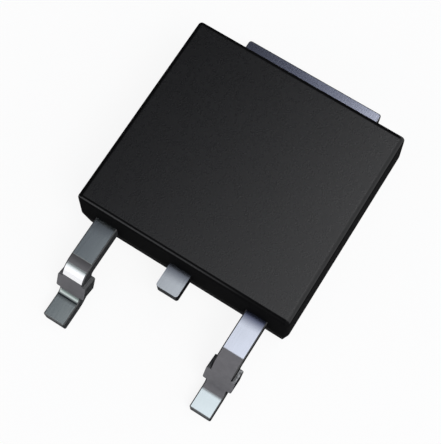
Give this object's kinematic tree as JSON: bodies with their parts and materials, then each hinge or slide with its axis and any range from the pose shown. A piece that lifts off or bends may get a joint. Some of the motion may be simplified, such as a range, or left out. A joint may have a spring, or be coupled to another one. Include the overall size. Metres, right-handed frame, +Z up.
{
  "type": "surface-mount mosfet",
  "caption": "Moulded power transistor with gull-wing gate and source leads, a trimmed drain stub, and a soldered drain tab and pad underneath.",
  "frame": {"origin": "on the seating plane, under the middle of the whole outline from the lead tips to the end of the tab", "axes": "+Z up from the solder pads, leads towards -Y, drain tab towards +Y, gate lead at -X and source lead at +X"},
  "size_m": [0.0064, 0.0096, 0.0024],
  "materials": {
    "mould_compound": "fine matte grain, as moulded epoxy comes out of a spark-eroded tool",
    "plated_leadframe": "matte tin plating over copper alloy strip",
    "silicon": "opaque polished silicon, sealed inside",
    "solder": "dull solder, sealed inside",
    "bond_wire": "drawn aluminium wire, sealed inside"
  },
  "bodies": {
    "root": {"mold_body": "mould_compound", "drain_paddle": "plated_leadframe", "gate_lead": "plated_leadframe", "source_lead": "plated_leadframe", "silicon_die": "silicon", "die_attach_solder": "solder", "gate_bond_wire": "bond_wire", "source_bond_wire_1": "bond_wire", "source_bond_wire_2": "bond_wire"}
  },
  "joints": []
}
